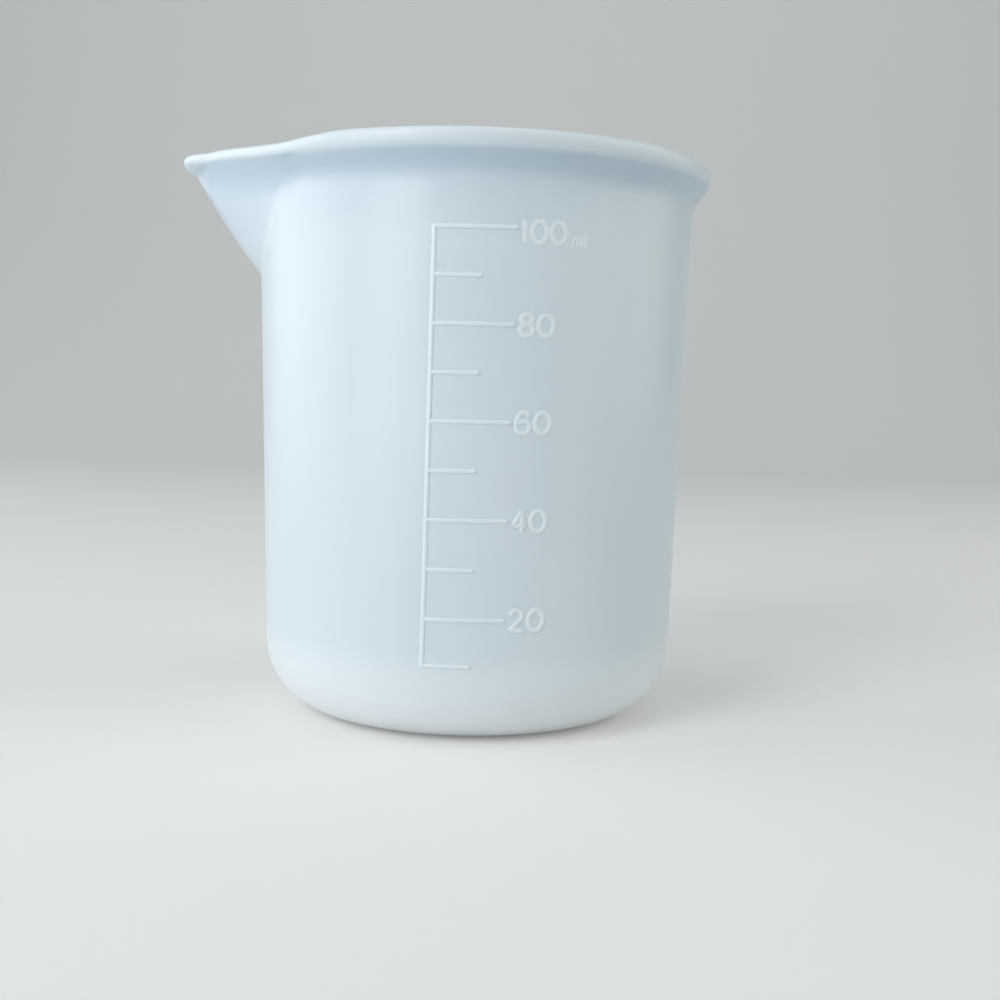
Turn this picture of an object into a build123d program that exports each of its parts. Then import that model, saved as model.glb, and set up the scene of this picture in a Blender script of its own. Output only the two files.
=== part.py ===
from build123d import *
from build123d.topology import SkipClean
from math import acos, cos, pi, radians, sin, sqrt, tan
import os

# A small pouring beaker for mixing resin, moulded in soft silicone. Millimetres, +Z up.
# The origin is the centre of the base, the spout points along -X, and the scale faces -Y.

# Round body
cup_height = 67.6
foot_radius = 25.35  # outside of the wall, carried down to the base plane
draft_angle = 1.42  # degrees that the wall leans outwards
wall = 1.8
floor_thickness = 2.8
base_corner = 8.8
floor_corner = 7.0

# Flare and bead of the rim
flare_drop = 5.6  # the wall starts to flare this far below the rim
flare_radius = 4.0
flare_angle = 40  # degrees that the outside leans outwards at the rim
mouth_angle = 25  # and the inside, so that the wall grows thicker towards the rim
bead_height = 2.3
bead_overhang = 0.58  # the bead stands this far out of the flare
bead_top_round = 0.7
bead_low_round = 0.8

# Pouring spout
spout_length = 7.4  # from the round rim to the spout's tip
spout_drop = 14.0  # the ridge leaves the wall this far below the rim
ridge_crown = 0.3  # how far the ridge bows out of a straight line
nose_radius = 2.6
nose_radius_at_foot = 13.0
spout_overhang = 1.75  # the bead stands this far out of the spout's skin
side_seat = 0.1  # the sides start this deep in the wall's skin
spout_lift = 0.7  # the tip stands this much higher than the rim
rim_dip = 0.3  # and just before it rises, the rim dips by this
lift_run = 14.5  # from the spout's tip back to the lowest place of the dip
dip_run = 8.0
lift_bend = 40.0
spout_levels = 12

# Raised scale
ml_edge = 10.0  # a millilitre is a cube with this edge
ml_count = 10  # millilitres from one mark to the next
first_mark_rise = 0.4  # the lowest mark stands a little above its true level
relief = 0.3
line_width = 0.5
line_offset = 4.75  # middle of the upright line, to the left of the front
line_lean = 0.6  # degrees that the line leans to the right
long_mark = 9.0  # from the middle of the line to the mark's round end
short_mark = 5.4

overrun = 1.0  # how far a cutting shape runs past what it cuts

draft = tan(radians(draft_angle))
bead_foot = cup_height - bead_height
flare_start = cup_height - flare_drop
spout_foot = cup_height - spout_drop
channel_top = cup_height + spout_lift + overrun


def wall_radius(level):
    """Radius of the outside of the drafted wall at a height above the base."""
    return foot_radius + draft * level


def skin_radius(level, inset, angle):
    """Radius of the round skin at a height, with a flare that ends at an angle.

    The inset is 0 outside and the wall inside.
    """
    lean = radians(draft_angle)
    slope = radians(angle)
    bend = flare_radius + inset
    centre = wall_radius(flare_start) - inset + bend * cos(lean)
    centre_level = flare_start - bend * sin(lean)
    slope_start = centre_level + bend * sin(slope)
    if level <= flare_start:
        return wall_radius(level) - inset
    if level < slope_start:
        return centre - sqrt(bend**2 - (level - centre_level) ** 2)
    return centre - bend * cos(slope) + (level - slope_start) * tan(slope)


rim_radius = skin_radius(bead_foot, 0, flare_angle) + bead_overhang
spout_reach = rim_radius + spout_length
lift_start = spout_reach - lift_run
dip_start = lift_start - dip_run


def turned(outline):
    """The solid of revolution of an outline that is drawn with radius as X and height as Y."""
    return revolve(Plane.XZ * make_face(outline), Axis.Z)


def flared_side(inset, angle, top):
    """Wall line, flare arc and flare slope, from the base plane up to a height."""
    start = (wall_radius(0) - inset, 0)
    bend = (wall_radius(flare_start) - inset, flare_start)
    side = Line(start, bend)
    flare = JernArc(bend, side % 1, flare_radius + inset, draft_angle - angle)
    end = (skin_radius(top, inset, angle), top)
    return Curve() + [side, flare, Line(flare @ 1, end)]


def outer_form(extra=0):
    """Outside of the round body, up to the middle of the bead, and an extra thickness larger."""
    side = flared_side(-extra, flare_angle, bead_foot)
    foot_of_bead = side @ 1
    middle = (foot_of_bead.X, bead_foot + bead_height / 2)
    closing = Polyline(foot_of_bead, middle, (0, middle[1]), (0, 0), side @ 0)
    body = turned(side + closing)
    base_edge = body.edges().group_by(Axis.Z)[0].sort_by(SortBy.LENGTH)[-1]
    return fillet(base_edge, base_corner)


def cavity_form():
    """Inside of the round body, open at the top."""
    side = flared_side(wall, mouth_angle, channel_top)
    top = side @ 1
    closing = Polyline(top, (0, top.Y), (0, 0), side @ 0)
    above_floor = Pos(0, 0, floor_thickness) * Cylinder(
        spout_reach, channel_top, align=(Align.CENTER, Align.CENTER, Align.MIN)
    )
    hollow = turned(side + closing) & above_floor
    floor_edge = hollow.edges().group_by(Axis.Z)[0].sort_by(SortBy.LENGTH)[-1]
    return fillet(floor_edge, floor_corner)


def spout_outline(reach, side_distance, nose):
    """Level cut through a spout: a round nose, and two straight sides at a distance from the axis.

    The sides are the lines that touch both the nose circle and the circle of the side distance.
    """
    centre = reach - nose
    turn = acos((side_distance - nose) / centre)
    left = Vector(-cos(turn), -sin(turn))
    right = Vector(-cos(turn), sin(turn))
    nose_centre = Vector(-centre, 0)
    side_1 = Line(left * side_distance, nose_centre + left * nose)
    side_2 = Line(nose_centre + right * nose, right * side_distance)
    front = ThreePointArc(side_1 @ 1, (-reach, 0), side_2 @ 0)
    return Curve() + [side_1, front, side_2, Line(side_2 @ 1, side_1 @ 0)]


def ridge_reach(share):
    """Distance of the spout's ridge from the axis, at a share of the way from foot to bead."""
    foot = wall_radius(spout_foot)
    head = spout_reach - spout_overhang
    return foot + (head - foot) * share + 4 * ridge_crown * share * (1 - share)


def spout_form(inset, angle, top):
    """Skin of the spout, from just inside the wall at its foot up to a height."""
    span = bead_foot - spout_foot
    low_share = -side_seat / 2 / (ridge_reach(1) - ridge_reach(0) + 4 * ridge_crown)
    high_share = (top - spout_foot) / span
    outlines = []
    for step in range(spout_levels + 1):
        share = low_share + (high_share - low_share) * (step / spout_levels) ** 2
        level = spout_foot + span * share
        nose = nose_radius_at_foot + (nose_radius - nose_radius_at_foot) * min(share, 1) - inset
        round_level = level if inset else min(level, bead_foot)
        side = skin_radius(round_level, inset, angle) - side_seat
        outline = spout_outline(ridge_reach(share) - inset, side, nose)
        outlines.append(Pos(0, 0, level) * make_face(outline))
    return loft(outlines)


def lift_band():
    """Side view of the bead: level round the cup, and rising gently to the spout's tip."""
    slope = (spout_lift + rim_dip) / (spout_reach - lift_start)
    far = spout_reach + overrun
    dip = (-lift_start, cup_height - rim_dip)
    tip = (-far, cup_height - rim_dip + slope * (far - lift_start))
    top_line = FilletPolyline((far, cup_height), (-dip_start, cup_height), dip, tip, radius=lift_bend)
    low_line = Pos(0, -bead_height) * top_line
    ends = [Line(top_line @ 0, low_line @ 0), Line(top_line @ 1, low_line @ 1)]
    side_view = Plane.XZ * make_face(Curve() + [top_line, low_line] + ends)
    return extrude(side_view, rim_radius + overrun, both=True)


def plain_bead():
    """The bead where it is round and level: a turned section with its outer edges rounded."""
    section = Pos(rim_radius, bead_foot) * Rectangle(rim_radius, bead_height, align=(Align.MAX, Align.MIN))
    outer = section.vertices().group_by(Axis.X)[-1].sort_by(Axis.Y)
    section = fillet(outer[1], bead_top_round)
    outer = section.vertices().filter_by_position(Axis.Y, bead_foot, bead_foot).sort_by(Axis.X)
    return revolve(Plane.XZ * fillet(outer[-1], bead_low_round), Axis.Z)


def spout_bead():
    """The bead where it runs out along the spout, dipping and then rising to the tip."""
    pointed = make_face(spout_outline(spout_reach, rim_radius, nose_radius + spout_overhang))
    outline = Circle(rim_radius) + pointed
    prism = extrude(Pos(0, 0, bead_foot - overrun) * outline, 2 * bead_height + spout_lift + overrun)
    bead = prism & lift_band()
    bead = fillet(outline_edges(bead, 1), bead_top_round)
    return fillet(outline_edges(bead, -1), bead_low_round)


def rim_bead():
    """Both stretches of the bead, which meet in an upright plane across the cup."""
    seam = Plane.YZ.offset(-dip_start / 2)
    return [split(plain_bead(), seam, keep=Keep.TOP), split(spout_bead(), seam, keep=Keep.BOTTOM)]


def outline_edges(solid, side):
    """Edges round the solid's upper side, or round its lower side where side is -1."""
    faces = solid.faces().filter_by(lambda face: face.normal_at().Z * side > cos(pi / 6))
    return faces.edges().filter_by(Axis.Y, reverse=True)


def cup_body():
    """The moulded skin: round body, bead and spout, less the inside of both.

    The faces stay as they are joined, because a merged bead is no longer a sound solid.
    """
    spout_top = bead_foot + (bead_height + spout_lift) / 2
    skin = outer_form() + spout_form(0, flare_angle, spout_top)
    hollow = cavity_form() + spout_form(wall, mouth_angle, channel_top)
    round_stretch, spout_stretch = rim_bead()
    with SkipClean():
        return skin + round_stretch + spout_stretch - hollow


def mark_level(number):
    """Height up to which a number of marks fills the cup: its rounded corner, then its cone."""
    corner_level = floor_thickness + floor_corner
    radius = wall_radius(corner_level) - wall
    flat = radius - floor_corner
    corner_fill = flat**2 * floor_corner + pi / 2 * flat * floor_corner**2 + floor_corner**3 * 2 / 3
    volume = number * ml_count * ml_edge**3
    filled = (radius**3 + 3 * draft * (volume / pi - corner_fill)) ** (1 / 3)
    return corner_level + (filled - radius) / draft


def scale_levels():
    """Heights of all the marks. The scale ends where the wall starts to flare."""
    levels = [mark_level(1) + first_mark_rise]
    while mark_level(len(levels) + 1) < flare_start:
        levels.append(mark_level(len(levels) + 1))
    return levels


def line_place(level, levels):
    """Middle of the upright line at a height, to the right of the front."""
    middle = (levels[0] + levels[-1]) / 2
    return (level - middle) * tan(radians(line_lean)) - line_offset


def upright_line(levels):
    """Flat outline of the line that joins the lowest mark to the highest."""
    low = levels[0] - line_width / 2
    high = levels[-1] + line_width / 2
    left_1 = (line_place(low, levels) - line_width / 2, low)
    right_1 = (line_place(low, levels) + line_width / 2, low)
    right_2 = (line_place(high, levels) + line_width / 2, high)
    left_2 = (line_place(high, levels) - line_width / 2, high)
    return make_face(Polyline(left_1, right_1, right_2, left_2, close=True))


def scale_mark(length):
    """Flat outline of a mark, from the middle of the upright line to a round end."""
    bar = Rectangle(length - line_width / 2, line_width, align=(Align.MIN, Align.CENTER))
    return bar + Pos(length - line_width / 2, 0) * Circle(line_width / 2)


def raised(outlines):
    """Raises flat outlines on the front of the wall, each as a solid of its own."""
    skin = outer_form(relief) - outer_form()
    solids = []
    for outline in outlines:
        stencil = extrude(Plane.XZ * outline, rim_radius + overrun)
        solids.append((skin & stencil).solid())
    return Compound(children=solids)


def scale_line():
    """The upright line of the scale."""
    return raised([upright_line(scale_levels())])


def scale_marks(length, first):
    """Every second mark of the scale, counted from the first that is given."""
    levels = scale_levels()
    line = upright_line(levels)
    marks = [Pos(line_place(level, levels), level) * scale_mark(length) for level in levels[first::2]]
    return raised([mark - line for mark in marks])


os.makedirs("parts", exist_ok=True)
export_step(cup_body(), "parts/cup_body.step")
export_step(scale_line(), "parts/scale_line.step")
export_step(scale_marks(short_mark, 0), "parts/short_marks.step")
export_step(scale_marks(long_mark, 1), "parts/long_marks.step")
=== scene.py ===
import bpy
from math import acos, asin, atan2, cos, exp, pi, radians, sin, sqrt, tan
from mathutils import Matrix, Vector
from mathutils.bvhtree import BVHTree


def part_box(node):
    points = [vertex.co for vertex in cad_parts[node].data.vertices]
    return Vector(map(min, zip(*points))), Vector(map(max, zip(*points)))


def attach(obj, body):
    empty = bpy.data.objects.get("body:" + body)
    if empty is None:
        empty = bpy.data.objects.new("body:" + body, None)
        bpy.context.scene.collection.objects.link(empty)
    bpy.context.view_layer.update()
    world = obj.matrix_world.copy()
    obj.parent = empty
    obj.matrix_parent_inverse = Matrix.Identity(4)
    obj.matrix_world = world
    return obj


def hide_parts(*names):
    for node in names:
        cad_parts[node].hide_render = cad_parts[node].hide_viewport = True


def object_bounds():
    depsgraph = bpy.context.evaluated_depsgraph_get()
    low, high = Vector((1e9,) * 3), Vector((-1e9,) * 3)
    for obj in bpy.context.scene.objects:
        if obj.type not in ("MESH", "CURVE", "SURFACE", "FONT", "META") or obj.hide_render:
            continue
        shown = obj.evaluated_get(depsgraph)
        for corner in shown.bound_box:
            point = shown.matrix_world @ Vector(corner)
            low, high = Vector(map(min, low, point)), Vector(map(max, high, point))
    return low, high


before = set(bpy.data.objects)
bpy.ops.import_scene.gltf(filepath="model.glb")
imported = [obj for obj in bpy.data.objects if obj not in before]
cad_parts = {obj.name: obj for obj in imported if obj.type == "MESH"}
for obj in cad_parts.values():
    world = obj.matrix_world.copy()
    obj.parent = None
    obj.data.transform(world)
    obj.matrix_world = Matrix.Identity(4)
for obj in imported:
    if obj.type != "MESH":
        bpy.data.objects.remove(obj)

MM = 0.001
cad_low, cad_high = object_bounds()

# Camera: fitted to the outline of the cup in the photograph, whose frame is 1000 x 1000
FRAME_PIXELS = 1000
FOCAL_PIXELS = 1344.25
SENSOR = 36.0
CAMERA_PLACE = (0.1096 * MM, -171.642 * MM, 39.3188 * MM)
CAMERA_PITCH = radians(4.36)
CAMERA_YAW = radians(-1.209)
CAMERA_ROLL = radians(1.375)
CLIP_START = 5 * MM

# Round body of the cup, as the CAD solid has it
FOOT_RADIUS = 25.35 * MM
DRAFT = radians(1.42)
WALL = 1.8 * MM
FLOOR_THICKNESS = 2.8 * MM
BASE_CORNER = 8.8 * MM
FLOOR_CORNER = 7.0 * MM
CUP_HEIGHT = 67.6 * MM
FLARE_START = 62.0 * MM
FLARE_RADIUS = 4.0 * MM
FLARE_ANGLE = radians(40)
MOUTH_ANGLE = radians(25)  # how far the inside of the flare leans outwards

# Pouring spout
SPOUT_FOOT = 53.6 * MM
SPOUT_SPAN = 11.7 * MM  # from the spout's foot up to the foot of the rim's lip
SPOUT_HEAD = 34.75 * MM  # reach of the ridge at the foot of the lip
RIDGE_CROWN = 0.3 * MM  # the ridge bulges this much half way up
NOSE_RADIUS = 2.6 * MM
NOSE_RADIUS_AT_FOOT = 13.0 * MM
SIDE_SEAT = 0.02 * MM  # the sides start this deep in the wall's skin
CREASE_DEPTH = 0.32 * MM  # the sides lie this much deeper half way up, which makes the crease
CREASE_TOP_SHARE = 0.85
HOLLOW_DEPTH = 0.32 * MM  # dent beside the spout, where it meets the flare
HOLLOW_MIDDLE = radians(42)
HOLLOW_WIDTH = radians(4.2)
HOLLOW_LEVEL = 64.2 * MM
HOLLOW_REACH = 2.0 * MM
BLEND = 0.06 * MM  # roundness of the crease between spout and wall

# Lip: (angle from the spout's middle, height), in between the height changes smoothly
LIP_AT_TIP = (radians(2.5), 2.30 * MM)
LIP_AT_SIDE = (radians(8.5), 1.45 * MM)
LIP_AT_ROUND = (radians(66), 2.10 * MM)
SIDE_LIP_END = radians(42)
SIDE_OVERHANG = 0.34 * MM
ROUND_OVERHANG = 0.40 * MM
LOW_ROUND_SHARE = 0.62  # rise of the lip's lower rounding, as a share of its height
TOP_ROUND_SHARE = 0.36
INNER_EDGE = 0.30 * MM
LOW_ROUND_START = radians(60)

# Rim line: a dip beside the spout and a rise to its tip, by how far out it is
RIM_DIP = 0.5 * MM
DIP_START = 14.5 * MM
DIP_END = 23.4 * MM
SPOUT_LIFT = 1.05 * MM
LIFT_START = 22.0 * MM
LIFT_END = 34.0 * MM

# Mesh of the cup; angles in degrees, from the spout's middle
SPOUT_HALF_ANGLE = 50
SPOUT_STEP = 0.5
ROUND_STEP = 2.6
ARC_STEPS = 12
WALL_STEPS = 8
SPOUT_STEPS = 44
FLARE_STEPS = 12
LIP_STEPS = 5

# Stage
FLOOR_HALF_WIDTH = 1.6
FLOOR_FRONT = -1.4
BACKDROP_PLACE = 1.0
BACKDROP_HEIGHT = 1.5
SWEEP_RADIUS = 0.45
SWEEP_STEPS = 24
FLOOR_COLOUR = (0.84, 0.83, 0.815)
FLOOR_CLOUDS = 3.0  # clouds per metre
FLOOR_CLOUD_SHADE = 0.985
PAPER_ROUGHNESS = 0.95
PAPER_SHINE = 0.1
GLOW = 0.16  # what the camera and reflections see on top of the lamps' light; it lights nothing

# Soft boxes: azimuth from the front in degrees, distance, height of the middle and of the aim,
# width, height, watts, colour
LAMPS = {
    "window_lamp": (-40, 0.45, 0.27, 0.27, 0.24, 0.52, 1.33, (1.0, 1.0, 1.0)),
    "left_lamp": (-100, 0.70, 0.26, 0.26, 0.70, 0.50, 1.8, (1.0, 1.0, 1.0)),
    "right_lamp": (85, 0.70, 0.35, 0.35, 0.70, 0.66, 2.1, (1.0, 0.95, 0.86)),
    "top_lamp": (-20, 0.12, 0.75, 0.0, 0.50, 0.50, 0.8, (1.0, 1.0, 1.0)),
}
WORLD_LIGHT = (0.178, 0.223, 0.245)
BACKGROUND_COLOUR = (0.66, 0.66, 0.65)

# How pale the silicone is painted by height: thick places are paler and thin ones deeper, with
# painted shade under the flare and a painted highlight on the lip's top
UNDER_LIP = 65.2 * MM
LIP_EDGE = 65.7 * MM
# (height, share of the pale colour against the deep one)
MILKINESS_AND_SHADE = [
    (0.0 * MM, 1.0),
    (3.0 * MM, 0.95),
    (10.0 * MM, 0.72),
    (14.0 * MM, 0.66),
    (56.0 * MM, 0.66),
    # from here up to the lip: painted shade on the flare's downward-facing underside
    (61.5 * MM, 0.46),
    (UNDER_LIP, 0.20),
    # the lip: paler as it is thick, with a painted highlight along its top
    (LIP_EDGE, 0.60),
    (67.0 * MM, 0.85),
]
LIP_RISE = 0.12  # how fast the lip's lower edge climbs towards the spout's tip
LIP_RISE_START = 20.0 * MM
FLARE_SHADE_SHARE = 0.28  # painted shade where the skin stands out from the wall: the flare's underside and the spout's sides
FLARED_FROM = 0.02 * MM
FLARED_TO = 0.32 * MM
DENT_SHADE_PLACE = (-20.6 * MM, 18.6 * MM, 65.0 * MM)  # painted shade here and at its mirror image, in the dent where the spout meets the flare
DENT_REACH = 2.4 * MM
DENT_SHADE_SHARE = 0.4
TIP_FROM = -33.0 * MM  # the spout's tip is painted paler, which lifts the painted shade under the lip there
TIP_TO = -34.5 * MM
TIP_SHARE = 0.45
BASE_TOP = 11.0 * MM  # the paler base, partly thick silicone and partly painted light, fades into the wall here
# partly the thick silicone's own pale colour, partly painted light on the base
BASE_SILICONE_AND_LIGHT = (0.935, 0.975, 1.0)
PALE_SILICONE = (0.80, 0.875, 0.915)
# the silicone's deep tone, which also paints the shade under the flare and beside the spout
DEEP_SILICONE_AND_SHADE = (0.55, 0.67, 0.775)
RAISED_SILICONE = (0.82, 0.925, 0.985)

# Finish of the silicone; the scales are clouds per metre
CLOUDS = 55.0
STREAKS = (260.0, 260.0, 22.0)
UNEVENNESS = (-0.09, 0.30)  # what clouds and streaks add to the share of the pale colour
MOTTLING = 900.0
SMUDGES = 140.0
ROUGHNESS = (0.28, 0.38)
GRAIN = 2600.0
GRAIN_DEPTH = 0.012 * MM
WAVES = 210.0
WAVE_DEPTH = 0.05 * MM
SILICONE_IOR = 1.45

# Raised numerals beside the long marks
NUMERAL_HEIGHT = 2.85 * MM
NUMERAL_WIDTH = 2.05 * MM
NUMERAL_GAP = 0.16 * MM
NUMERAL_STROKE = 0.58 * MM
MARK_TO_NUMERAL = 0.25 * MM
TOP_NUMERAL_DROP = 0.35 * MM
SIGN_GAP = NUMERAL_GAP * 3
SIGN_SCALE_SHARE = 0.62
SIGN_RELIEF_SHARE = 0.5
MARK_GAP = 1.0 * MM  # points further apart in height than this are of different marks
CURVE_STEPS = 8

# Raised lines of the scale, soft-edged as they come out of the mould
RIB_WIDTH = 0.52 * MM
RIB_RELIEF = 0.15 * MM
RIB_END_SHARES = [0.04, 0.2, 0.5, 0.8]  # of half the width, where the round ends are cut
RIB_STEPS = 24
RIB_ARC_STEPS = 8
KNOB_SHARE = 0.5  # how much higher a mark's right end stands than the rest

# A stroke is (closed, smooth, points); the points are shares of the numeral's width and height
GLYPH_SHARES = {
    "0": [(True, True, [(0.5, 0), (1, 0.27), (1, 0.73), (0.5, 1), (0, 0.73), (0, 0.27)])],
    "1": [
        (False, False, [(0, 0.76), (0.6, 1)]),
        (False, False, [(0.6, 1), (0.6, 0)]),
    ],
    "2": [
        (False, True, [(0.02, 0.76), (0.47, 1), (0.94, 0.73), (0.62, 0.42), (0, 0)]),
        (False, False, [(0, 0), (1, 0)]),
    ],
    "4": [
        (False, False, [(0, 0.28), (1, 0.28)]),
        (False, False, [(0, 0.28), (0.72, 1)]),
        (False, False, [(0.72, 1), (0.72, 0)]),
    ],
    "6": [
        (True, True, [(0.5, 0), (1, 0.29), (0.5, 0.58), (0, 0.29)]),
        (False, True, [(0, 0.29), (0.07, 0.72), (0.52, 1), (0.93, 0.84)]),
    ],
    "8": [
        (True, True, [(0.5, 0), (1, 0.27), (0.5, 0.54), (0, 0.27)]),
        (True, True, [(0.5, 0.57), (0.9, 0.78), (0.5, 1), (0.1, 0.78)]),
    ],
    "m": [
        (False, False, [(0, 0), (0, 0.62)]),
        (False, True, [(0, 0.45), (0.27, 0.62), (0.5, 0.42), (0.5, 0)]),
        (False, True, [(0.5, 0.45), (0.77, 0.62), (1, 0.42), (1, 0)]),
    ],
    "l": [(False, False, [(0, 0), (0, 1)])],
}
GLYPH_WIDTH_SHARES = {"1": 0.45, "4": 0.95, "m": 1.1, "l": 0.15}
# (text, how high it stands, as a share of the stroke's half width)
NUMERAL_RELIEF_SHARES = [("20", 0.42), ("40", 0.42), ("60", 0.38), ("80", 0.24), ("100", 0.16)]


def new_object(name, mesh):
    """Links a mesh to the scene as an object at the origin."""
    piece = bpy.data.objects.new(name, mesh)
    bpy.context.scene.collection.objects.link(piece)
    return piece


def smooth_step(value, low, high):
    """0 below low, 1 above high, and an S-shaped rise in between."""
    share = min(max((value - low) / (high - low), 0.0), 1.0)
    return share * share * (3 - 2 * share)


def larger(first, second, blend):
    """The larger of two lengths, rounded where they are alike."""
    return (first + second + sqrt((first - second) ** 2 + blend**2)) / 2


def wall_radius(level):
    """Outside of the drafted wall at a height above the floor."""
    return FOOT_RADIUS + tan(DRAFT) * level


def round_radius(level, inset, slope):
    """Radius of the round skin with its flare; the inset is 0 outside and the wall inside."""
    bend = FLARE_RADIUS + inset
    centre = wall_radius(FLARE_START) - inset + bend * cos(DRAFT)
    centre_level = FLARE_START - bend * sin(DRAFT)
    slope_start = centre_level + bend * sin(slope)
    if level <= FLARE_START:
        return wall_radius(level) - inset
    if level < slope_start:
        return centre - sqrt(bend**2 - (level - centre_level) ** 2)
    return centre - bend * cos(slope) + (level - slope_start) * tan(slope)


def wedge_radius(turn, reach, side, nose):
    """Reach of a round-nosed wedge at an angle from its middle, or 0 beyond its sides."""
    centre = reach - nose
    side_turn = acos(min((side - nose) / centre, 1.0))
    nose_turn = atan2(nose * sin(side_turn), centre + nose * cos(side_turn))
    if turn <= nose_turn:
        return centre * cos(turn) + sqrt(max(nose**2 - (centre * sin(turn)) ** 2, 0.0))
    if turn <= side_turn:
        return side / cos(turn - side_turn)
    return 0.0


def ridge_reach(share):
    """Reach of the spout's ridge at a share of the way from its foot to the lip."""
    foot = wall_radius(SPOUT_FOOT)
    return foot + (SPOUT_HEAD - foot) * share + 4 * RIDGE_CROWN * share * (1 - share)


def skin_radius(turn, level, inset, slope):
    """Radius of the cup's skin, round body and spout together."""
    body = round_radius(level, inset, slope)
    share = (level - SPOUT_FOOT) / SPOUT_SPAN
    if share <= 0 or turn > radians(SPOUT_HALF_ANGLE):
        return body
    crease = CREASE_DEPTH * max(sin(pi * min(share / CREASE_TOP_SHARE, 1.0)), 0.0)
    side = body - SIDE_SEAT - crease
    nose = NOSE_RADIUS_AT_FOOT + (NOSE_RADIUS - NOSE_RADIUS_AT_FOOT) * min(share, 1.0) - inset
    wedge = wedge_radius(turn, ridge_reach(share) - inset, side, nose)
    return larger(body, wedge, BLEND)


def outer_skin(turn, level):
    """A point of the outer skin, with the dent where the spout meets the flare."""
    across = (turn - HOLLOW_MIDDLE) / HOLLOW_WIDTH
    along = (level - HOLLOW_LEVEL) / HOLLOW_REACH
    hollow = HOLLOW_DEPTH * exp(-(across**2) - along**2)
    return skin_radius(turn, level, 0, FLARE_ANGLE) - hollow, level


def lip_height(turn):
    """Height of the lip: full at the tip and round the cup, and slim along the spout."""
    tip_turn, tip = LIP_AT_TIP
    side_turn, side = LIP_AT_SIDE
    round_turn, full = LIP_AT_ROUND
    if turn < side_turn:
        return tip + (side - tip) * smooth_step(turn, tip_turn, side_turn)
    return side + (full - side) * smooth_step(turn, SIDE_LIP_END, round_turn)


def lip_overhang(turn, skin, reach):
    """How far the lip stands out; at the tip it fills up to the spout's full reach."""
    round_share = smooth_step(turn, SIDE_LIP_END, LIP_AT_ROUND[0])
    side = SIDE_OVERHANG + (ROUND_OVERHANG - SIDE_OVERHANG) * round_share
    if turn >= LIP_AT_SIDE[0]:
        return side
    at_tip = reach - skin
    return at_tip + (side - at_tip) * smooth_step(turn, LIP_AT_TIP[0], LIP_AT_SIDE[0])


def rim_level(out):
    """Height of the rim where it is this far out towards the spout's tip."""
    dip = RIM_DIP * smooth_step(out, DIP_START, DIP_END)
    lift = SPOUT_LIFT * smooth_step(out, LIFT_START, LIFT_END)
    return CUP_HEIGHT - dip + lift


def corner(centre_radius, level, radius, start, end, steps):
    """Points of an arc in the upright section; angles count from outwards, up."""
    angles = [start + (end - start) * step / steps for step in range(steps + 1)]
    return [(centre_radius + radius * cos(a), level + radius * sin(a)) for a in angles]


def spaced(low, high, steps):
    """Heights from low to high, both ends included."""
    return [low + (high - low) * step / steps for step in range(steps + 1)]


def cup_section(turn):
    """Upright section of the cup at an angle from the spout's middle, as (radius, height)."""
    top = rim_level(skin_radius(turn, CUP_HEIGHT, 0, FLARE_ANGLE) * cos(turn))
    lip = lip_height(turn)
    foot = top - lip
    skin = skin_radius(turn, foot, 0, FLARE_ANGLE)
    overhang = lip_overhang(turn, skin, -cad_low.x)
    base_centre = wall_radius(BASE_CORNER) - BASE_CORNER / cos(DRAFT)
    points = corner(base_centre, BASE_CORNER, BASE_CORNER, -pi / 2, -DRAFT, ARC_STEPS)
    for level in spaced(points[-1][1], SPOUT_FOOT, WALL_STEPS)[1:]:
        points.append((wall_radius(level), level))
    for level in spaced(SPOUT_FOOT, FLARE_START, SPOUT_STEPS)[1:]:
        points.append(outer_skin(turn, level))
    for level in spaced(FLARE_START, foot, FLARE_STEPS)[1:]:
        points.append(outer_skin(turn, level))
    low_rise = LOW_ROUND_SHARE * lip
    top_round = TOP_ROUND_SHARE * lip
    outer = skin + overhang
    for a in spaced(-LOW_ROUND_START, 0.0, LIP_STEPS)[1:]:
        along = (cos(a) - cos(LOW_ROUND_START)) / (1 - cos(LOW_ROUND_START))
        rise = 1 + sin(a) / sin(LOW_ROUND_START)
        points.append((skin + overhang * along, foot + low_rise * rise))
    points += corner(outer - top_round, top - top_round, top_round, 0.0, pi / 2, LIP_STEPS)
    mouth = skin_radius(turn, top, WALL, MOUTH_ANGLE)
    points += corner(mouth + INNER_EDGE, top - INNER_EDGE, INNER_EDGE, pi / 2, pi, LIP_STEPS)
    for level in spaced(top - INNER_EDGE, FLARE_START, FLARE_STEPS)[1:]:
        points.append((skin_radius(turn, level, WALL, MOUTH_ANGLE), level))
    for level in spaced(FLARE_START, SPOUT_FOOT, SPOUT_STEPS)[1:]:
        points.append((skin_radius(turn, level, WALL, MOUTH_ANGLE), level))
    corner_level = FLOOR_THICKNESS + FLOOR_CORNER
    for level in spaced(SPOUT_FOOT, corner_level, WALL_STEPS)[1:-1]:
        points.append((wall_radius(level) - WALL, level))
    floor_centre = wall_radius(corner_level) - WALL - FLOOR_CORNER / cos(DRAFT)
    return points + corner(floor_centre, corner_level, FLOOR_CORNER, -DRAFT, -pi / 2, ARC_STEPS)


def cup_turns():
    """Angles round the cup from the spout's middle, closer together at the spout."""
    half_steps = round(SPOUT_HALF_ANGLE / SPOUT_STEP)
    near = [SPOUT_HALF_ANGLE * step / half_steps for step in range(-half_steps, half_steps + 1)]
    rest = 360 - 2 * SPOUT_HALF_ANGLE
    far_steps = round(rest / ROUND_STEP)
    far = [SPOUT_HALF_ANGLE + rest * step / far_steps for step in range(1, far_steps)]
    return [radians(turn) for turn in near + far]


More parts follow.
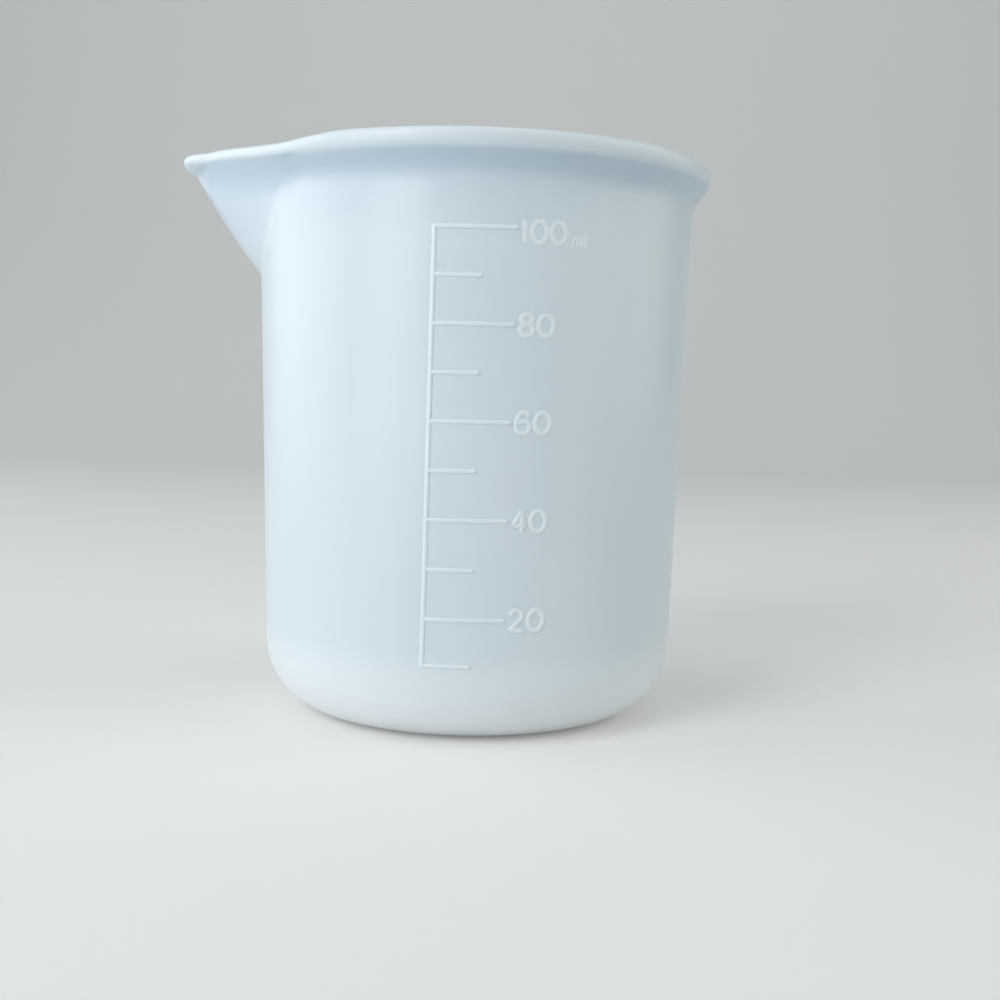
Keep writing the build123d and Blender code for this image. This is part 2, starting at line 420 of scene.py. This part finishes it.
def add_cup(material):
    """The cup's skin as one closed mesh, in place of the CAD solid."""
    points = [(0.0, 0.0, 0.0), (0.0, 0.0, FLOOR_THICKNESS)]
    turns = cup_turns()
    for turn in turns:
        from_middle = min(abs(turn), 2 * pi - abs(turn))
        for radius, level in cup_section(from_middle):
            points.append((-radius * cos(turn), -radius * sin(turn), level))
    count = (len(points) - 2) // len(turns)
    faces = []
    for number in range(len(turns)):
        here = 2 + number * count
        there = 2 + (number + 1) % len(turns) * count
        faces.append((0, there, here))
        faces.append((1, here + count - 1, there + count - 1))
        for step in range(count - 1):
            faces.append((here + step, there + step, there + step + 1, here + step + 1))
    mesh = bpy.data.meshes.new("cup_skin")
    mesh.from_pydata(points, [], faces)
    mesh.polygons.foreach_set("use_smooth", [True] * len(faces))
    mesh.materials.append(material)
    cup = new_object("cup_skin", mesh)
    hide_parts("cup_body")
    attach(cup, "root")
    return cup


def add_camera():
    """The photograph's camera: below the rim, looking slightly down along +Y."""
    right = Vector((1, 0, 0))
    forward = Vector((0, cos(CAMERA_PITCH), -sin(CAMERA_PITCH)))
    up = Vector((0, sin(CAMERA_PITCH), cos(CAMERA_PITCH)))
    turn = Matrix.Rotation(CAMERA_YAW, 3, "Z")
    right, forward, up = turn @ right, turn @ forward, turn @ up
    tilted_right = cos(CAMERA_ROLL) * right + sin(CAMERA_ROLL) * up
    tilted_up = cos(CAMERA_ROLL) * up - sin(CAMERA_ROLL) * right
    data = bpy.data.cameras.new("camera")
    data.sensor_width = SENSOR
    data.lens = FOCAL_PIXELS * SENSOR / FRAME_PIXELS
    data.clip_start = CLIP_START
    camera = bpy.data.objects.new("camera", data)
    axes = Matrix((tilted_right, tilted_up, -forward)).transposed()
    camera.matrix_world = Matrix.Translation(CAMERA_PLACE) @ axes.to_4x4()
    bpy.context.scene.collection.objects.link(camera)
    bpy.context.scene.camera = camera


def add_stage(material):
    """A pale floor that sweeps up into a backdrop behind the cup."""
    profile = [(FLOOR_FRONT, 0.0), (BACKDROP_PLACE - SWEEP_RADIUS, 0.0)]
    for step in range(1, SWEEP_STEPS + 1):
        angle = pi / 2 * step / SWEEP_STEPS
        along = BACKDROP_PLACE - SWEEP_RADIUS + SWEEP_RADIUS * sin(angle)
        profile.append((along, SWEEP_RADIUS * (1 - cos(angle))))
    profile.append((BACKDROP_PLACE, BACKDROP_HEIGHT))
    points = []
    for side in (-FLOOR_HALF_WIDTH, FLOOR_HALF_WIDTH):
        for along, height in profile:
            points.append((side, along, height))
    count = len(profile)
    faces = [(i, i + count, i + count + 1, i + 1) for i in range(count - 1)]
    mesh = bpy.data.meshes.new("floor")
    mesh.from_pydata(points, [], faces)
    mesh.polygons.foreach_set("use_smooth", [True] * len(faces))
    floor = new_object("floor", mesh)
    floor.data.materials.append(material)


def add_lamp(name, azimuth, distance, middle_height, aim_height, width, height, watts, colour):
    """A soft box that faces the cup's axis; the camera doesn't see it."""
    data = bpy.data.lights.new(name, "AREA")
    data.shape = "RECTANGLE"
    data.size = width
    data.size_y = height
    data.energy = watts
    data.color = colour
    lamp = bpy.data.objects.new(name, data)
    side = Vector((sin(radians(azimuth)), -cos(radians(azimuth)), 0))
    lamp.location = side * distance + Vector((0, 0, middle_height))
    away = lamp.location - Vector((0, 0, aim_height))
    lamp.rotation_euler = away.to_track_quat("Z", "Y").to_euler()
    lamp.visible_camera = False
    bpy.context.scene.collection.objects.link(lamp)


class Tree:
    """The nodes of a material or world, made and joined in few words."""

    def __init__(self, owner, shader="Principled BSDF"):
        self.owner = owner
        self.owner.use_nodes = True
        self.tree = self.owner.node_tree
        self.shader = self.tree.nodes[shader]

    def add(self, kind, values=(), **settings):
        """A node of this kind; values are (socket, number or the output that feeds it)."""
        node = self.tree.nodes.new(kind)
        for name, setting in settings.items():
            setattr(node, name, setting)
        for socket, value in dict(values).items():
            self.feed(node.inputs[socket], value)
        return node

    def feed(self, socket, value):
        """Sets a socket to a number, or links it to another node's output."""
        if isinstance(value, bpy.types.NodeSocket):
            self.tree.links.new(value, socket)
        else:
            socket.default_value = value

    def seen(self):
        """1 where the camera, a reflection or glass looks, and 0 where light only bounces."""
        rays = self.add("ShaderNodeLightPath").outputs
        shown = self.total(rays["Is Camera Ray"], rays["Is Glossy Ray"])
        return self.total(shown, rays["Is Transmission Ray"])

    def places(self):
        """Places on the object, in metres."""
        return self.add("ShaderNodeTexCoord").outputs["Object"]

    def noise(self, place, scale, detail=2.0):
        """Soft clouds from 0 to 1; scale is clouds per metre."""
        values = {"Vector": place, "Scale": scale, "Detail": detail}
        return self.add("ShaderNodeTexNoise", values).outputs["Fac"]

    def stretched(self, place, factors):
        """Places with each axis scaled by its own factor."""
        values = {0: place, 1: factors}
        return self.add("ShaderNodeVectorMath", values, operation="MULTIPLY").outputs[0]

    def spread(self, value, low, high):
        """Turns 0 to 1 into low to high."""
        values = {"Value": value, "To Min": low, "To Max": high}
        return self.add("ShaderNodeMapRange", values).outputs["Result"]

    def scaled(self, value, factor):
        """Two numbers multiplied."""
        return self.add("ShaderNodeMath", {0: value, 1: factor}, operation="MULTIPLY").outputs[0]

    def summed(self, first, second):
        """Two numbers added."""
        return self.add("ShaderNodeMath", {0: first, 1: second}, operation="ADD").outputs[0]

    def stepped(self, value, low, high):
        """0 at low and 1 at high, level beyond them."""
        values = {"Value": value, "From Min": low, "From Max": high}
        return self.add("ShaderNodeMapRange", values).outputs["Result"]

    def total(self, first, second):
        """Two numbers added, kept from 0 to 1."""
        values = {0: first, 1: second}
        return self.add("ShaderNodeMath", values, operation="ADD", use_clamp=True).outputs[0]

    def mixed(self, share, first, second):
        """A mix of two colours."""
        node = self.add("ShaderNodeMix", data_type="RGBA")
        self.feed(node.inputs[0], share)
        self.feed(node.inputs[6], first)
        self.feed(node.inputs[7], second)
        return node.outputs[2]

    def bump(self, height, depth, normal=None):
        """Surface relief, depth in metres."""
        values = {"Height": height, "Distance": depth, "Strength": 1.0}
        if normal is not None:
            values["Normal"] = normal
        return self.add("ShaderNodeBump", values).outputs["Normal"]


def add_world():
    """An even light from all round, in front of a pale background."""
    world = Tree(bpy.data.worlds.new("studio"), "Background")
    colour = world.mixed(world.seen(), (*WORLD_LIGHT, 1), (*BACKGROUND_COLOUR, 1))
    world.feed(world.shader.inputs["Color"], colour)
    bpy.context.scene.world = world.owner


def floor_material():
    """Matt paper with a faint unevenness."""
    paper = Tree(bpy.data.materials.new("stage_paper"))
    clouds = paper.noise(paper.places(), FLOOR_CLOUDS)
    shaded = [c * FLOOR_CLOUD_SHADE for c in FLOOR_COLOUR]
    pale = paper.mixed(clouds, (*FLOOR_COLOUR, 1), (*shaded, 1))
    paper.feed(paper.shader.inputs["Base Color"], pale)
    paper.feed(paper.shader.inputs["Emission Color"], pale)
    paper.feed(paper.shader.inputs["Emission Strength"], paper.scaled(paper.seen(), GLOW))
    paper.feed(paper.shader.inputs["Roughness"], PAPER_ROUGHNESS)
    paper.feed(paper.shader.inputs["Specular IOR Level"], PAPER_SHINE)
    return paper.owner


def milkiness_and_shade(skin, place):
    """Share of the pale colour: by height, with painted light and shade, plus painted shade where
    the skin stands out from the wall and in the dent beside the spout.
    """
    parts = skin.add("ShaderNodeSeparateXYZ", {0: place}).outputs
    beyond = skin.summed(skin.scaled(parts["X"], -1.0), -LIP_RISE_START)
    rise = skin.scaled(skin.total(beyond, 0.0), -LIP_RISE)
    height = skin.summed(parts["Z"], rise)
    top = MILKINESS_AND_SHADE[-1][0]
    ramp = skin.add("ShaderNodeValToRGB", {0: skin.scaled(height, 1 / top)})
    stops = ramp.color_ramp.elements
    while len(stops) < len(MILKINESS_AND_SHADE):
        stops.new(1.0)
    for stop, (level, share) in zip(stops, MILKINESS_AND_SHADE):
        stop.position = level / top
        stop.color = (share, share, share, 1)
    # painted shade where the skin stands out from the wall below the lip: the flare's underside
    # and the spout's sides
    flat = skin.stretched(place, (1.0, 1.0, 0.0))
    reach = skin.add("ShaderNodeVectorMath", {0: flat}, operation="LENGTH").outputs["Value"]
    wall = skin.summed(skin.scaled(parts["Z"], tan(DRAFT)), FOOT_RADIUS)
    flared = skin.stepped(skin.summed(reach, skin.scaled(wall, -1.0)), FLARED_FROM, FLARED_TO)
    below_lip = skin.stepped(height, LIP_EDGE, UNDER_LIP)
    flare_shade = skin.scaled(skin.scaled(flared, below_lip), -FLARE_SHADE_SHARE)
    # painted shade in the dent where the spout meets the flare, on both sides
    half = skin.add("ShaderNodeVectorMath", {0: place}, operation="ABSOLUTE").outputs[0]
    sides = skin.add("ShaderNodeSeparateXYZ", {0: half}).outputs["Y"]
    folded = skin.add("ShaderNodeCombineXYZ", {"X": parts["X"], "Y": sides, "Z": parts["Z"]})
    values = {0: folded.outputs[0], 1: DENT_SHADE_PLACE}
    apart = skin.add("ShaderNodeVectorMath", values, operation="DISTANCE")
    dent_shade = skin.scaled(skin.stepped(apart.outputs["Value"], DENT_REACH, 0.0), -DENT_SHADE_SHARE)
    # lifts the painted shade of the lip's underside at the spout's tip
    tip = skin.scaled(skin.stepped(parts["X"], TIP_FROM, TIP_TO), TIP_SHARE)
    return skin.summed(skin.summed(ramp.outputs["Color"], flare_shade), skin.summed(dent_shade, tip))


def finish_skin(skin, place):
    """Satin sheen with faint smudges, over soft waves and a fine moulded grain."""
    smudges = skin.noise(place, SMUDGES, 4.0)
    skin.feed(skin.shader.inputs["Roughness"], skin.spread(smudges, *ROUGHNESS))
    grain = skin.bump(skin.noise(place, GRAIN), GRAIN_DEPTH)
    waves = skin.bump(skin.noise(place, WAVES), WAVE_DEPTH, grain)
    skin.feed(skin.shader.inputs["Normal"], waves)
    skin.feed(skin.shader.inputs["IOR"], SILICONE_IOR)


def body_material():
    """Milky silicone: cloudy inside, paler where it is thick, with painted shade under the flare
    and beside the spout and painted light at the base.
    """
    skin = Tree(bpy.data.materials.new("milky_silicone"))
    place = skin.places()
    clouds = skin.noise(place, CLOUDS, 3.0)
    streaks = skin.noise(skin.stretched(place, STREAKS), 1.0, 3.0)
    unevenness = skin.spread(skin.scaled(clouds, streaks), *UNEVENNESS)
    share = skin.total(milkiness_and_shade(skin, place), unevenness)
    wall = skin.mixed(share, (*DEEP_SILICONE_AND_SHADE, 1), (*PALE_SILICONE, 1))
    height = skin.add("ShaderNodeSeparateXYZ", {0: place}).outputs["Z"]
    # painted light towards the bottom, partly for the thick base
    colour = skin.mixed(skin.stepped(height, BASE_TOP, 0.0), wall, (*BASE_SILICONE_AND_LIGHT, 1))
    skin.feed(skin.shader.inputs["Base Color"], colour)
    finish_skin(skin, place)
    return skin.owner


def raised_material():
    """The same silicone where it is thicker: paler, with a little mottling."""
    skin = Tree(bpy.data.materials.new("raised_silicone"))
    place = skin.places()
    share = skin.noise(place, MOTTLING)
    colour = skin.mixed(share, (*RAISED_SILICONE, 1), (*PALE_SILICONE, 1))
    skin.feed(skin.shader.inputs["Base Color"], colour)
    finish_skin(skin, place)
    return skin.owner


def stroke_mesh(text, width, height, stroke):
    """The text as tubes in the XY plane, from x 0 to the right; gives the mesh and its length."""
    data = bpy.data.curves.new(text, "CURVE")
    data.dimensions = "3D"
    data.bevel_depth = stroke / 2
    data.bevel_resolution = 3
    data.use_fill_caps = True
    data.resolution_u = CURVE_STEPS
    start = 0.0
    for letter in text:
        letter_width = width * GLYPH_WIDTH_SHARES.get(letter, 1.0) - stroke
        for closed, smooth, shares in GLYPH_SHARES[letter]:
            line = data.splines.new("BEZIER")
            line.use_cyclic_u = closed
            line.bezier_points.add(len(shares) - 1)
            for point, (across, up) in zip(line.bezier_points, shares):
                x = start + stroke / 2 + across * letter_width
                y = stroke / 2 + up * (height - stroke)
                point.co = (x, y, 0)
                point.handle_left_type = "AUTO" if smooth else "VECTOR"
                point.handle_right_type = point.handle_left_type
        start += letter_width + stroke + NUMERAL_GAP
    flat = bpy.data.objects.new(text, data)
    bpy.context.scene.collection.objects.link(flat)
    bpy.context.view_layer.update()
    mesh = bpy.data.meshes.new_from_object(flat)
    bpy.data.objects.remove(flat)
    return mesh, start - NUMERAL_GAP


def seat_radius(tree, angle, level):
    """Distance of the cup's skin from its axis, at an angle from the front and a height."""
    outside = cad_high.x * 2
    away = Vector((sin(angle), -cos(angle), 0))
    hit = tree.ray_cast(away * outside + Vector((0, 0, level)), -away)[0]
    return hit.xy.length


def wrap_on_skin(mesh, tree, start, level, relief_share):
    """Lays a flat mesh round the cup: x along the skin from start, y up from level, z outwards."""
    radius = seat_radius(tree, start / cad_high.x, level)
    for vertex in mesh.vertices:
        angle = (start + vertex.co.x) / radius
        height = level + vertex.co.y
        out = seat_radius(tree, angle, height) + vertex.co.z * relief_share
        vertex.co = (out * sin(angle), -out * cos(angle), height)


def marks_of(node):
    """(level, left end, right end) of each mark of a CAD node, from the lowest up."""
    corners = sorted((v.co.z, v.co.x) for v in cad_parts[node].data.vertices)
    marks = [[corners[0]]]
    for corner in corners[1:]:
        if corner[0] - marks[-1][-1][0] > MARK_GAP:
            marks.append([])
        marks[-1].append(corner)
    places = []
    for mark in marks:
        sides = [x for z, x in mark]
        places.append(((mark[0][0] + mark[-1][0]) / 2, min(sides), max(sides)))
    return places


def upright_ends():
    """(x, level) of the lower and the upper end of the scale's upright line."""
    low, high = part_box("scale_line")
    places = [v.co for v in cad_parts["scale_line"].data.vertices]
    ends = []
    for level in (low.z, high.z):
        near = [place.x for place in places if abs(place.z - level) < MARK_GAP]
        ends.append(((min(near) + max(near)) / 2, level))
    return ends


def rib_cuts(length):
    """Places along a rib, from 0 to its length, closer together in its round ends."""
    half = RIB_WIDTH / 2
    ends = [share * half for share in RIB_END_SHARES]
    middle = spaced(half, length - half, RIB_STEPS)
    return ends + middle + [length - place for place in reversed(ends)]


def add_rib(points, faces, tree, start, end, knob_share):
    """A soft-edged raised line on the wall between two (x, level) places."""
    half = RIB_WIDTH / 2
    way = Vector((end[0] - start[0], end[1] - start[1]))
    length = way.length
    way.normalize()
    first = len(points)
    for along in rib_cuts(length):
        inwards = min(min(along, length - along) / half, 1.0)
        swell = sqrt(1 - (1 - inwards) ** 2)
        knob = 1 + knob_share * exp(-(((length - along) / half - 1) ** 2))
        for a in spaced(0.0, pi, RIB_ARC_STEPS):
            across = half * swell * cos(a)
            x = start[0] + way.x * along - way.y * across
            level = start[1] + way.y * along + way.x * across
            seat = seat_radius(tree, asin(x / cad_high.x), level)
            out = seat + RIB_RELIEF * swell * knob * sin(a)
            angle = asin(x / seat)
            points.append((out * sin(angle), -out * cos(angle), level))
    row = RIB_ARC_STEPS + 1
    for here in range(first, len(points) - row, row):
        for step in range(RIB_ARC_STEPS):
            faces.append((here + step, here + step + 1, here + row + step + 1, here + row + step))
        faces.append((here + row - 1, here, here + row, here + 2 * row - 1))
    faces.append(tuple(reversed(range(first, first + row))))
    faces.append(tuple(range(len(points) - row, len(points))))


def add_ribs(name, node, ends, tree, knob_share, material):
    """Soft-edged lines in place of the sharp ones of a CAD node."""
    points, faces = [], []
    for start, end in ends:
        add_rib(points, faces, tree, start, end, knob_share)
    mesh = bpy.data.meshes.new(name)
    mesh.from_pydata(points, [], faces)
    mesh.polygons.foreach_set("use_smooth", [True] * len(faces))
    mesh.materials.append(material)
    piece = new_object(name, mesh)
    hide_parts(node)
    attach(piece, "root")


def add_scale(tree, material):
    """The scale's upright line and its marks."""
    add_ribs("upright_rib", "scale_line", [upright_ends()], tree, 0.0, material)
    for name, node in (("long_ribs", "long_marks"), ("short_ribs", "short_marks")):
        ends = []
        for level, left, right in marks_of(node):
            ends.append(((left - RIB_WIDTH / 2, level), (right, level)))
        add_ribs(name, node, ends, tree, KNOB_SHARE, material)


def add_text(name, text, tree, start, level, scale, relief_share, material):
    """One raised word on the cup's wall; gives where it ends."""
    sizes = [size * scale for size in (NUMERAL_WIDTH, NUMERAL_HEIGHT, NUMERAL_STROKE)]
    mesh, length = stroke_mesh(text, *sizes)
    wrap_on_skin(mesh, tree, start, level, relief_share)
    mesh.name = name
    mesh.polygons.foreach_set("use_smooth", [True] * len(mesh.polygons))
    mesh.materials.clear()
    mesh.materials.append(material)
    piece = new_object(name, mesh)
    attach(piece, "root")
    return start + length


def add_numerals(tree, material):
    """The numbers at the long marks, and the unit after the top one."""
    marks = marks_of("long_marks")
    for (level, left, end), (text, relief_share) in zip(marks, NUMERAL_RELIEF_SHARES):
        low = level - NUMERAL_HEIGHT / 2
        if text == NUMERAL_RELIEF_SHARES[-1][0]:
            low -= TOP_NUMERAL_DROP
        start = end + MARK_TO_NUMERAL
        end = add_text("numerals_" + text, text, tree, start, low, 1.0, relief_share, material)
    start = end + SIGN_GAP
    relief_share *= SIGN_RELIEF_SHARE
    add_text("unit_sign", "ml", tree, start, low, SIGN_SCALE_SHARE, relief_share, material)


cup = add_cup(body_material())
raised_silicone = raised_material()
skin_tree = BVHTree.FromObject(cup, bpy.context.evaluated_depsgraph_get())
add_scale(skin_tree, raised_silicone)
add_numerals(skin_tree, raised_silicone)
add_stage(floor_material())
for name, settings in LAMPS.items():
    add_lamp(name, *settings)
add_world()
add_camera()

view = bpy.context.scene.view_settings
view.view_transform = "Standard"
